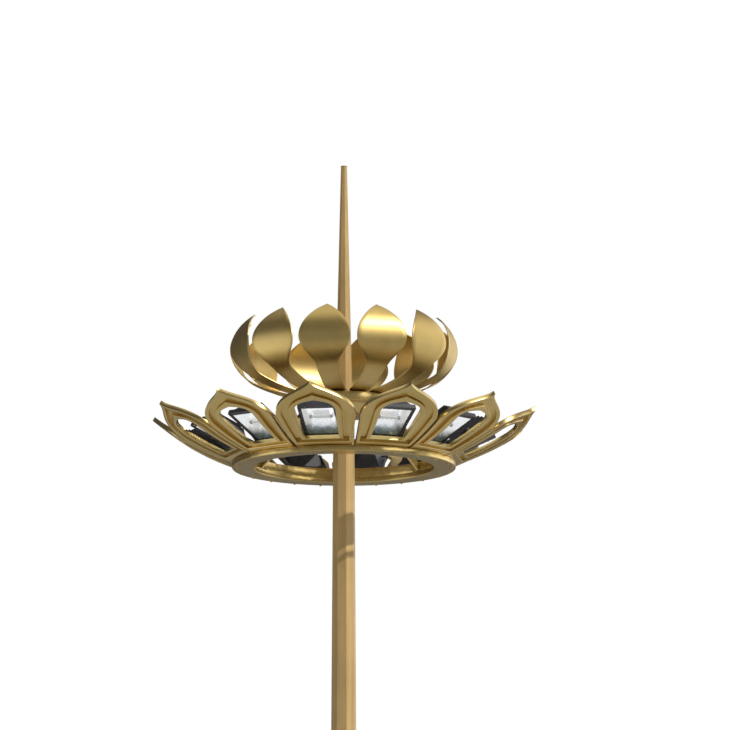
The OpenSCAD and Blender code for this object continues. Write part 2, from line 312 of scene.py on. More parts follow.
@dataclass(frozen=True)
class PolishedGold(Finish):
    """Gold-toned polished metal with faint brushing, haze and bright worn edges."""

    deep: Colour = (0.62, 0.45, 0.160)
    bright: Colour = (0.73, 0.545, 0.215)
    edge: Colour = (0.86, 0.69, 0.37)
    worn: float = 0.7
    tones: Pair = (0.3, 0.7)
    haze_tone: float = 0.25
    roughness: float = 0.29
    haze_sway: float = 0.10
    brush_sway: float = 0.08
    clouds: Grain = Grain(1.6, 4.0)
    haze: Grain = Grain(9.0, 5.0)
    brushing: Grain = Grain(1.0, 3.0, (6.0, 6.0, 150.0))
    relief: Pair = (0.03, 0.0001)

    def shade(self, graph: Graph) -> None:
        """Clouded tint, brushed roughness and relief, and bright edges.

        Args:
            graph: The material's nodes.
        """
        cloud, haze, brush = map(graph.noise, (self.clouds, self.haze, self.brushing))
        tone = graph.ramp(cloud + haze.swing(self.haze_tone), *self.tones)
        tint = graph.blend(tone, self.deep, self.bright)
        rough = self.roughness + haze.swing(self.haze_sway) + brush.swing(self.brush_sway)
        graph.surface(
            {
                "Base Color": graph.blend(graph.wear() * self.worn, tint, self.edge),
                "Metallic": 1.0,
                "Roughness": rough,
                "Normal": graph.bump(brush, *self.relief),
            }
        )


@dataclass(frozen=True)
class SatinBronze(Finish):
    """Bronze-gold satin coat of the shaft, with run-off streaks and dust."""

    deep: Colour = (0.53, 0.36, 0.145)
    bright: Colour = (0.66, 0.455, 0.19)
    edge: Colour = (0.8, 0.62, 0.34)
    dust: Colour = (0.36, 0.30, 0.22)
    worn: float = 0.5
    tones: Pair = (0.36, 0.62)
    tone_shares: Pair = (0.6, 0.4)
    roughness: float = 0.45
    streak_sway: float = 0.18
    metallic: float = 0.2
    streaks: Grain = Grain(1.0, 4.0, (30.0, 30.0, 0.55))
    clouds: Grain = Grain(2.2, 4.0)
    peel: Grain = Grain(240.0, 2.0)
    relief: Pair = (0.10, 0.0008)
    dust_top: float = 1.6
    dust_patches: Pair = (0.42, 0.62)
    dust_cover: float = 0.55
    dust_rough: float = 0.3
    dust_dull: float = 0.12
    coat: Pair = (0.08, 0.2)

    def shade(self, graph: Graph) -> None:
        """Streaked tint, fine peel of the coat and dust low on the shaft.

        Args:
            graph: The material's nodes.
        """
        streak, cloud, peel = map(graph.noise, (self.streaks, self.clouds, self.peel))
        streaked, clouded = self.tone_shares
        tone = graph.ramp(streaked * streak + clouded * cloud, *self.tones)
        tint = graph.blend(tone, self.deep, self.bright)
        low = 1.0 - graph.ramp(graph.height(), 0.0, self.dust_top)
        dirt = low * graph.ramp(cloud, *self.dust_patches) * self.dust_cover
        clean = graph.blend(graph.wear() * self.worn, tint, self.edge)
        rough = self.roughness + streak.swing(self.streak_sway) + self.dust_rough * dirt
        graph.surface(
            {
                "Base Color": graph.blend(dirt, clean, self.dust),
                "Metallic": self.metallic - self.dust_dull * dirt,
                "Roughness": rough,
                "Normal": graph.bump(peel, *self.relief),
                "Coat Weight": self.coat[0],
                "Coat Roughness": self.coat[1],
            }
        )


@dataclass(frozen=True)
class MirrorLiner(Finish):
    """Hammered bright aluminium of the reflectors, with a painted glow above and painted shade
    on the lower lip.
    """

    tint: Colour = (0.96, 0.97, 0.98)
    shade_tint: Colour = (0.88, 0.90, 0.93)
    # Painted light: an emission that brightens the reflector above the lip, though the reflector
    # is no lamp.
    painted_glow: Colour = (0.94, 0.97, 1.0)
    painted_glow_strength: float = 0.50
    # Painted shade on the lower lip, in its colour and in its glow.
    shaded_lip: Colour = (0.15, 0.22, 0.26)
    shaded_lip_glow: Colour = (0.02, 0.04, 0.05)
    # Heights across which the painted shade of the lower lip gives way to the bright metal and
    # its painted glow.
    lip: Pair = (15.205, 15.285)
    lip_drift: float = 0.08
    roughness: float = 0.24
    sway: Pair = (0.16, 0.3)
    clouds: Grain = Grain(14.0)
    dimples: float = 60.0
    relief: Pair = (0.3, 0.003)

    def shade(self, graph: Graph) -> None:
        """Bright metal with small hammered dimples, a painted glow above and painted shade on
        the lower lip.

        Args:
            graph: The material's nodes.
        """
        dimple = graph.cells(self.dimples, "SMOOTH_F1")
        cloud = graph.noise(self.clouds)
        # clean is 0 on the lower lip, where shade is painted, and 1 above it, where glow is
        # painted.
        clean = graph.ramp(graph.height() + cloud.swing(self.lip_drift), *self.lip)
        bright = graph.blend(cloud, self.tint, self.shade_tint)
        graph.surface(
            {
                "Base Color": graph.blend(clean, self.shaded_lip, bright),
                "Metallic": 1.0,
                "Roughness": self.roughness + cloud.swing(*self.sway),
                "Emission Color": graph.blend(clean, self.shaded_lip_glow, self.painted_glow),
                "Emission Strength": self.painted_glow_strength,
                "Normal": graph.bump(dimple, *self.relief),
            }
        )


@dataclass(frozen=True)
class LensGlass(Finish):
    """Clear toughened glass with a faint film of dust."""

    clear: Colour = (0.92, 0.94, 0.97)
    dusty: Colour = (0.84, 0.86, 0.88)
    film: Grain = Grain(11.0, 4.0)
    film_tint: float = 0.4
    film_patches: Pair = (0.45, 0.8)
    film_rough: float = 0.06
    film_alpha: float = 0.10
    roughness: float = 0.02
    refraction: float = 1.5
    alpha: float = 0.12

    def shade(self, graph: Graph) -> None:
        """Nearly clear pane whose dust shows as a slight haze.

        Args:
            graph: The material's nodes.
        """
        film = graph.noise(self.film)
        haze = self.film_rough * graph.ramp(film, *self.film_patches)
        graph.surface(
            {
                "Base Color": graph.blend(film * self.film_tint, self.clear, self.dusty),
                "Roughness": self.roughness + haze,
                "IOR": self.refraction,
                "Alpha": self.alpha + film.swing(self.film_alpha),
            }
        )


@dataclass(frozen=True)
class ZincSteel(Finish):
    """Galvanised steel of bolts, nuts, washers and screws."""

    tint: Colour = (0.52, 0.53, 0.54)
    dull: Colour = (0.33, 0.34, 0.35)
    metallic: float = 0.9
    roughness: float = 0.34
    spangles: float = 130.0
    clouds: Grain = Grain(45.0)
    tones: Pair = (0.3, 0.62)
    tone_shares: Pair = (0.6, 0.4)
    dull_rough: float = 0.22
    relief: Pair = (0.2, 0.0006)

    def shade(self, graph: Graph) -> None:
        """Spangled zinc with dull patches.

        Args:
            graph: The material's nodes.
        """
        spangle = graph.cells(self.spangles)
        cloud = graph.noise(self.clouds)
        clouded, spangled = self.tone_shares
        mottled = graph.ramp(clouded * cloud + spangled * spangle, *self.tones)
        graph.surface(
            {
                "Base Color": graph.blend(mottled, self.tint, self.dull),
                "Metallic": self.metallic,
                "Roughness": self.roughness + self.dull_rough * mottled,
                "Normal": graph.bump(cloud, *self.relief),
            }
        )


@dataclass(frozen=True)
class Mottled(Finish):
    """Plain finish whose two tones and roughness follow one noise, with rubbed edges."""

    first: Colour
    second: Colour
    clouds: Grain
    roughness: float
    sway: float = 0.0
    middle: float = 0.5
    tones: Pair | None = None
    rubbed: Colour | None = None
    worn: float = 0.5
    pebbles: Grain | None = None
    relief: Pair | None = None
    metallic: float = 0.0
    coat: float = 0.0
    specular: float = 0.5

    def shade(self, graph: Graph) -> None:
        """Tones and roughness from one noise, relief from it or from a finer one.

        Args:
            graph: The material's nodes.
        """
        cloud = graph.noise(self.clouds)
        tone = graph.ramp(cloud, *self.tones) if self.tones else cloud
        tint = graph.blend(tone, self.first, self.second)
        if self.rubbed:
            tint = graph.blend(graph.wear() * self.worn, tint, self.rubbed)
        inputs = {
            "Base Color": tint,
            "Metallic": self.metallic,
            "Roughness": self.roughness + cloud.swing(self.sway, self.middle),
            "Coat Weight": self.coat,
            "Specular IOR Level": self.specular,
        }
        if self.relief:
            fine = graph.noise(self.pebbles) if self.pebbles else cloud
            inputs["Normal"] = graph.bump(fine, *self.relief)
        graph.surface(inputs)


GOLD = PolishedGold("polished_gold")
GOLD_LEAF = PolishedGold(
    "bloom_gold", roughness=0.41, brushing=Grain(1.0, 3.0, (4.0, 4.0, 110.0))
)
BRONZE = SatinBronze("satin_bronze")
SLATE = Mottled(
    "slate_coat",
    (0.022, 0.024, 0.033),
    (0.044, 0.047, 0.062),
    Grain(7.0, 4.0),
    roughness=0.46,
    sway=0.2,
    tones=(0.35, 0.65),
    rubbed=(0.20, 0.21, 0.24),
    pebbles=Grain(420.0, 2.0),
    relief=(0.25, 0.0006),
)
LINER = MirrorLiner("mirror_liner")
LENS = LensGlass("lens_glass")
ZINC = ZincSteel("zinc_steel")
QUARTZ = Mottled(
    "quartz_tube",
    (0.92, 0.92, 0.90),
    (0.80, 0.82, 0.82),
    Grain(40.0),
    roughness=0.18,
    sway=0.2,
    middle=0.3,
    coat=0.6,
)
SEAM = Mottled(
    "weld_seam",
    (0.46, 0.33, 0.15),
    (0.34, 0.24, 0.11),
    Grain(160.0, 2.0),
    roughness=0.4,
    sway=0.2,
    relief=(0.5, 0.002),
    metallic=0.85,
)
SEAL = Mottled(
    "black_seal",
    (0.012, 0.012, 0.013),
    (0.045, 0.044, 0.042),
    Grain(60.0, 4.0),
    roughness=0.62,
    sway=0.3,
    relief=(0.2, 0.0005),
)
FLOOR = Mottled(
    "pale_floor",
    (0.92, 0.92, 0.92),
    (0.88, 0.88, 0.88),
    Grain(0.4),
    roughness=0.85,
    specular=0.1,
)


class Skin:
    """Collects the faces of one piece and turns them into an object."""

    def __init__(self) -> None:
        """Starts with nothing."""
        self.points: list[Vector] = []
        self.wear: list[float] = []
        self.faces: list[list[int]] = []

    def loop(self, points: Iterable[Vector], wear: float | list[float] = 0.0) -> list[int]:
        """Adds a row of points.

        Args:
            points: The row, in order.
            wear: Edge wear of the row or of each of its points, 0 to 1.

        Returns:
            The points' numbers.
        """
        first = len(self.points)
        self.points.extend(points)
        row = list(range(first, len(self.points)))
        self.wear.extend(wear if isinstance(wear, list) else [wear] * len(row))
        return row

    def bridge(self, a: Sequence[int], b: Sequence[int]) -> None:
        """Joins two closed rows of equal length by quads.

        Args:
            a: First row.
            b: Second row.
        """
        n = len(a)
        for i in range(n):
            j = (i + 1) % n
            self.faces.append([a[i], a[j], b[j], b[i]])

    def loft(self, rows: Sequence[Sequence[int]], ends: bool = True) -> None:
        """Joins closed rows one after another.

        Args:
            rows: The rows, in order.
            ends: True to cap both ends, False to join the last row to the first.
        """
        for a, b in zip(rows, rows[1:]):
            self.bridge(a, b)
        if ends:
            self.faces.append(list(reversed(rows[0])))
            self.faces.append(list(rows[-1]))
        else:
            self.bridge(rows[-1], rows[0])

    def turned(self, at: Matrix, profile: Profile, sides: int = 24) -> None:
        """Adds a turned form.

        Args:
            at: Frame whose Z is the axis.
            profile: Radius and height pairs from one end to the other.
            sides: Points round the axis.
        """
        rows = [
            self.loop(at @ polar(radius, 360 * i / sides, height) for i in range(sides))
            for radius, height in profile
        ]
        self.loft(rows)

    def hexagon(self, at: Matrix, across: float, height: float) -> None:
        """Adds a nut or a head with chamfered corners, standing on the frame's plane."""
        corner = across / math.sqrt(3)
        self.turned(at, [(corner * r, height * h) for r, h in NUT], sides=6)

    def fixing(self, at: Matrix, size: float, tail: float = 0.0) -> None:
        """Adds a washer, a nut and a stud's end.

        Args:
            at: Frame on the clamped face, Z outward.
            size: Thread diameter.
            tail: Length of thread above the nut.
        """
        washer, nut = WASHER[-1][1] * size, NUT_HEIGHT * size
        self.turned(at, [(r * size, h * size) for r, h in WASHER])
        self.hexagon(at @ shift(0, 0, washer), NUT_ACROSS * size, nut)
        if tail > 0:
            end = ((0.5 * size, 0), (0.5 * size, tail - 0.1 * size), (0.4 * size, tail))
            self.turned(at @ shift(0, 0, washer + nut - 0.001), end, sides=16)

    def fixings(
        self, turns: Iterable[Matrix], spots: Sequence[Matrix], size: float, tail: float = 0.0
    ) -> "Skin":
        """Adds fixings in a circle.

        Args:
            turns: Rotations that carry the spots round the mast.
            spots: Frames of the fixings before they are turned.
            size: Thread diameter.
            tail: Length of thread above the nuts.

        Returns:
            This skin.
        """
        for turn in turns:
            for spot in spots:
                self.fixing(turn @ spot, size, tail)
        return self

    def tube(
        self, path: Sequence[Vector], radius: float, closed: bool = False, sides: int = 8
    ) -> None:
        """Adds a round rippled bead along a path.

        Args:
            path: Centre line.
            radius: Radius of the bead.
            closed: True if the path ends where it starts.
            sides: Points round the bead.
        """
        rows = []
        n = len(path)
        for i, here in enumerate(path):
            before = path[i - 1] if closed or i else path[0]
            after = path[(i + 1) % n] if closed or i < n - 1 else path[-1]
            along = (after - before).normalized()
            side = along.cross(Vector((0, 0, 1)))
            if side.length < STEEP:
                side = along.cross(Vector((0, 1, 0)))
            side.normalize()
            up = side.cross(along)
            thick = radius * (1 + RIPPLE * math.sin(i * RIPPLE_STEP))
            circle = [polar(thick, 360 * j / sides) for j in range(sides)]
            rows.append(self.loop(here + p.x * side + p.y * up for p in circle))
        self.loft(rows, ends=not closed)

    def piece(
        self,
        name: str,
        finish: Finish,
        slot: Slot | None = None,
        body: str = TOWER,
        crease: float = CREASE,
    ) -> bpy.types.Object:
        """Makes the object.

        Args:
            name: Name of the piece.
            finish: Its finish.
            slot: Not used.
            body: Body that it moves with.
            crease: Angle above which an edge stays sharp, in degrees.

        Returns:
            The new object, riding on its body.
        """
        mesh = bpy.data.meshes.new(name)
        mesh.from_pydata([tuple(p) for p in self.points], [], self.faces)
        work = bmesh.new()
        work.from_mesh(mesh)
        bmesh.ops.recalc_face_normals(work, faces=work.faces)
        work.to_mesh(mesh)
        work.free()
        mask = mesh.attributes.new("wear", "FLOAT", "POINT")
        mask.data.foreach_set("value", self.wear)
        mesh.polygons.foreach_set("use_smooth", [True] * len(mesh.polygons))
        mesh.set_sharp_from_angle(angle=math.radians(crease))
        mesh.materials.append(finish.material())
        made = bpy.data.objects.new(name, mesh)
        bpy.context.scene.collection.objects.link(made)
        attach(made, body)
        LOG.info("piece %s: %d faces", name, len(mesh.polygons))
        return made


def rounded_rectangle(length: float, width: float, corner: float, z: float) -> list[Vector]:
    """Rounded rectangle square to Z.

    Args:
        length: Size along X.
        width: Size along Y.
        corner: Corner radius.
        z: Place along Z.

    Returns:
        Its points, counterclockwise.
    """
    out = []
    for i, (x, y) in enumerate(((1, 1), (-1, 1), (-1, -1), (1, -1))):
        middle = Vector((x * (length / 2 - corner), y * (width / 2 - corner), z))
        angles = (90 * (i + j / CORNER_STEPS) for j in range(CORNER_STEPS + 1))
        out += [middle + polar(corner, angle) for angle in angles]
    return out


def divided(path: Sequence[Vector], step: float) -> list[Vector]:
    """Adds points to a path so that none are further apart than a step.

    Args:
        path: Corners of the path.
        step: Largest distance between points.

    Returns:
        The path with more points, its last corner included.
    """
    out: list[Vector] = []
    for a, b in zip(path, path[1:]):
        count = max(1, math.ceil((b - a).length / step))
        out += [a.lerp(b, i / count) for i in range(count)]
    return out + [path[-1]]


def dress(node: str, finish: Finish, round_edge: float = 0.0, cast: bool = False) -> None:
    """Gives a CAD node its finish.

    Args:
        node: Name of the node.
        finish: Its finish.
        round_edge: Width that its sharp edges are eased by, or 0.
        cast: Whether it is a casting, whose wide flats shade evenly up to their edges.
    """
    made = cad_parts[node]
    made.data.materials.clear()
    made.data.materials.append(finish.material())
    for face in made.data.polygons:
        face.material_index = 0
    if round_edge > 0:
        weld = made.modifiers.new("join", "WELD")
        weld.merge_threshold = JOIN_DISTANCE
        ease = made.modifiers.new("ease", "BEVEL")
        ease.limit_method = "ANGLE"
        ease.angle_limit = EASE_LIMIT
        ease.width = round_edge
        ease.segments = EASE_STEPS
        ease.harden_normals = not cast
        if cast:
            made.modifiers.new("even", "WEIGHTED_NORMAL")
    LOG.info("dressed %s", node)


@dataclass
class LowerWhorl:
    """The twelve petal frames round the lamp ring."""

    foot_r: float = 1.120
    ring_top: float = 15.055
    lift: float = 0.052
    curve: float = 2.800
    slope: float = 20.5
    length: float = 0.938
    fill: float = 0.96
    shoulder: float = 0.51
    rim_depth: float = 0.045
    web: float = 0.010
    sill: float = 0.095
    foot: float = 0.070
    window_half: float = 0.205
    window_foot_half: float = 0.165
    window_turn: float = 0.58
    window_apex: float = 0.745
    # Handles of the outer arch by the length, and of the window's back from its apex.
    near_handle: Pair = (0.83, 0.045)
    far_handle: Pair = (0.87, 0.022)
    far_half: Pair = (0.060, 0.105)
    groove: Pair = (0.27, 0.70)
    fillet: float = 0.0045
    frame_width: float = 0.185
    edge_wear: float = 0.2
    seat: float = 0.0003
    side_steps: int = 12
    arch_steps: int = 26
    sill_steps: int = 8

    def __post_init__(self) -> None:
        """Works out the arc that the petals lie on."""
        half_arc = math.degrees(math.asin(self.length / 2 / self.curve))
        self.mid = self.slope + half_arc
        lean = math.radians(self.slope)
        self.arc_r = self.foot_r - self.curve * math.sin(lean)
        self.arc_z = self.ring_top + self.lift + self.curve * math.cos(lean)
        middle = math.radians(self.mid)
        mid_r = self.arc_r + self.curve * math.sin(middle)
        reach = (self.shoulder - 0.5) * self.length * math.cos(middle)
        self.shoulder_half = self.fill * (mid_r + reach) * SECTOR
        self.foot_half = self.fill * self.foot_r * SECTOR

    def start(self, q: float) -> float:
        """Where an outline begins along the petal.

        Args:
            q: 0 for the petal's outer edge to 1 for the window's edge.

        Returns:
            The place along the petal.
        """
        groove = self.groove[0]
        if q >= groove:
            return q * self.sill
        return mix(-self.foot, groove * self.sill, q / groove)

    def outline(self, q: float) -> list[Pair]:
        """Closed outline of a nested edge.

        Args:
            q: 0 for the petal's outer edge to 1 for the window's edge.

        Returns:
            Points along and across the petal, counterclockwise.
        """
        first = self.start(q)
        wide = mix(self.shoulder_half, self.window_half, q)
        narrow = mix(self.foot_half, self.window_foot_half, q)
        apex = self.window_apex * self.length
        turn = mix(self.shoulder, self.window_turn, q) * self.length
        tip = (mix(self.length, apex, q), 0.0)
        near, far = [
            mix(share * self.length, apex - back, q)
            for share, back in (self.near_handle, self.far_handle)
        ]
        foot = mix(narrow, wide, first / turn)
        shares = [i / self.side_steps for i in range(self.side_steps)]
        half = [(mix(first, turn, s), mix(foot, wide, s)) for s in shares]
        half += bezier(
            (turn, wide), (near, wide), (far, mix(*self.far_half, q)), tip, self.arch_steps
        )
        other = [(x, -y) for x, y in reversed(half[:-1])]
        shares = [i / self.sill_steps for i in range(1, self.sill_steps)]
        return half + other + [(first, mix(-foot, foot, s)) for s in shares]

    def point(self, place: Pair, depth: float) -> Vector:
        """A point of the first petal before it is turned to its place.

        Args:
            place: Place along and across the petal.
            depth: Distance outward from its inner face.

        Returns:
            The point, with X along the petal's own radius.
        """
        radius = self.curve + depth
        angle = math.radians(self.mid) + math.asin((place[0] - self.length / 2) / radius)
        height = max(self.arc_z - radius * math.cos(angle), self.ring_top + self.seat)
        return Vector((self.arc_r + radius * math.sin(angle), place[1], height))

    def eased(
        self, q: float, depth: float, flat: int, wall: int, worn: float = 1.0
    ) -> list[Triple]:
        """Rows round one eased edge of a petal's frame.

        Args:
            q: Outline share of the edge.
            depth: Depth of the edge.
            flat: Side of the edge that its flat lies on, 1 towards the window.
            wall: Side of the edge that its wall lies on, 1 outward.
            worn: Wear of the edge.

        Returns:
            Outline share, depth and wear of each row, from the flat to the wall.
        """
        across, up = flat * self.fillet / self.frame_width, wall * self.fillet
        return [
            (q + across, depth, self.edge_wear * worn),
            (q + EASE_MIDDLE * across, depth + EASE_MIDDLE * up, worn),
            (q, depth + up, self.edge_wear * worn),
        ]

    def section(self) -> list[Triple]:
        """Rows across a petal's frame.

        Returns:
            Outline share, depth and wear of each row, once round the frame.
        """
        deep, web = self.rim_depth, self.web
        a, b = self.groove
        return [
            *self.eased(0.0, 0.0, 1, 1),
            *reversed(self.eased(0.0, deep, 1, -1)),
            (a / 2, deep, 0.0),
            *self.eased(a, deep, -1, -1),
            *reversed(self.eased(a, web, 1, 1, 0.0)),
            *self.eased(b, web, -1, 1, 0.0),
            *reversed(self.eased(b, deep, 1, -1)),
            *self.eased(1.0, deep, -1, -1),
            *reversed(self.eased(1.0, 0.0, -1, 1)),
            (0.66, 0.0, 0.0),
            (0.33, 0.0, 0.0),
        ]

    def build(self) -> None:
        """Makes the twelve frames in place of their CAD solids."""
        for k, turn in enumerate(PETAL_TURNS):
            skin = Skin()
            rows = [
                skin.loop([turn @ self.point(p, depth) for p in self.outline(q)], wear)
                for q, depth, wear in self.section()
            ]
            skin.loft(rows, ends=False)
            made = skin.piece(f"petal_frame_{k + 1:02d}", GOLD, Slot.GOLD)
            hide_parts(f"lower_petal_{k + 1:02d}")


@dataclass
class UpperWhorl:
    """The twelve closed petals that rise from the hub."""

    seat: float = 15.7152
    hub_r: float = 0.450
    root: float = 0.190
    root_gap: float = 0.018
    start: float = 0.265
    sweep_r: float = 1.430
    sweep: float = 27.0
    bend_radius: float = 0.367
    tip: float = 57.0
    tip_half: float = 0.004
    fill: float = 0.88
    widest: float = 0.400
    neck: float = 0.740
    neck_swell: float = 1.12
    stem: float = 0.100
    # Handles of the blade's and the point's curves, as shares of length and of half width.
    blade_handles: Sequence[Pair] = ((0.41, 1.2), (0.62, 1.0))
    point_handles: Sequence[Pair] = ((0.38, 1.0), (0.74, 0.42))
    thickness: float = 0.014
    fillet: float = 0.0042
    fillet_limit: float = 0.45
    edge_wear: float = 0.8
    blade_steps: int = 20
    point_steps: int = 28
    row_step: float = 0.035
    across: int = 10

    def __post_init__(self) -> None:
        """Works out the bend's centre and the lengths along the petal."""
        lean = math.radians(self.sweep)
        self.sweep_z = self.seat + self.sweep_r
        self.bend_r = self.start + (self.sweep_r - self.bend_radius) * math.sin(lean)
        self.bend_z = self.sweep_z - (self.sweep_r - self.bend_radius) * math.cos(lean)
        self.sweep_l = self.sweep_r * lean
        bend = math.radians(90 - self.sweep + self.tip)
        self.length = self.sweep_l + self.bend_radius * bend
        self.half = self.fill * (self.bend_r + self.bend_radius) * SECTOR

    def spine(self, along: float) -> tuple[Pair, Pair]:
        """Outer line of a petal.

        Args:
            along: Length from where the petal starts to rise; negative on the hub.

        Returns:
            The point as radius and height, and the direction towards the hollow side.
        """
        if along <= 0:
            return (self.start + along, self.seat), (0.0, 1.0)
        if along < self.sweep_l:
            a, radius = along / self.sweep_r, self.sweep_r
            centre = (self.start, self.sweep_z)
        else:
            a = math.radians(self.sweep) + (along - self.sweep_l) / self.bend_radius
            radius, centre = self.bend_radius, (self.bend_r, self.bend_z)
        s, c = math.sin(a), math.cos(a)
        return (centre[0] + radius * s, centre[1] - radius * c), (-s, c)

    def widths(self) -> list[Pair]:
        """Outline of a petal.

        Returns:
            Pairs of place along the petal and half width, from root to tip.
        """
        tip, stem, half = self.length, self.stem, self.half
        neck, widest = tip - self.neck, tip - self.widest
        root = [
            (self.root - self.start, self.root * SECTOR - self.root_gap),
            (self.hub_r - self.start, stem),
        ]
        (q1, w1), (q2, w2) = self.blade_handles
        (q3, w3), (q4, w4) = self.point_handles
        blade = bezier(
            (neck, self.neck_swell * stem),
            (mix(neck, widest, q1), w1 * stem),
            (mix(neck, widest, q2), w2 * half),
            (widest, half),
            self.blade_steps,
        )
        point = bezier(
            (widest, half),
            (mix(widest, tip, q3), w3 * half),
            (mix(widest, tip, q4), w4 * half),
            (tip, self.tip_half),
            self.point_steps,
        )
        return root + blade + point[1:]

    def rows(self) -> list[Pair]:
        """Outline with more rows along the straight stem.

        Returns:
            Pairs of place along the petal and half width, from root to tip.
        """
        pairs = self.widths()
        out: list[Pair] = []
        for a, b in zip(pairs, pairs[1:]):
            steps = max(1, math.ceil((b[0] - a[0]) / self.row_step))
            shares = [i / steps for i in range(steps)]
            out += [(mix(a[0], b[0], s), mix(a[1], b[1], s)) for s in shares]
        return out + [pairs[-1]]

    def section(self, half: float) -> list[Triple]:
        """Closed cross-section of a petal.

        Args:
            half: Half width of the petal there.

        Returns:
            Place across, depth from the outer face and wear of each point.
        """
        f = min(self.fillet, self.fillet_limit * half)
        m, t, worn = EASE_MIDDLE * f, self.thickness, self.edge_wear
        shares = [i / self.across for i in range(self.across + 1)]
        flat = [mix(-(half - f), half - f, share) for share in shares]
        edge = [(half - m, m), (half, f), (half, t - f), (half - m, t - m)]
        return (
            [(y, 0.0, 0.0) for y in flat]
            + [(y, d, worn) for y, d in edge]
            + [(y, t, 0.0) for y in reversed(flat)]
            + [(-y, d, worn) for y, d in reversed(edge)]
        )

    def build(self) -> None:
        """Makes the twelve petals in place of their CAD solids."""
        for k, turn in enumerate(PETAL_TURNS):
            skin = Skin()
            rows = []
            for along, half in self.rows():
                (r, z), (nr, nz) = self.spine(along)
                section = self.section(half)
                points = [turn @ Vector((r + d * nr, y, z + d * nz)) for y, d, _ in section]
                rows.append(skin.loop(points, [wear for _, _, wear in section]))
            skin.loft(rows)
            made = skin.piece(f"bloom_petal_{k + 1:02d}", GOLD_LEAF, Slot.GOLD)
            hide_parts("upper_petals")


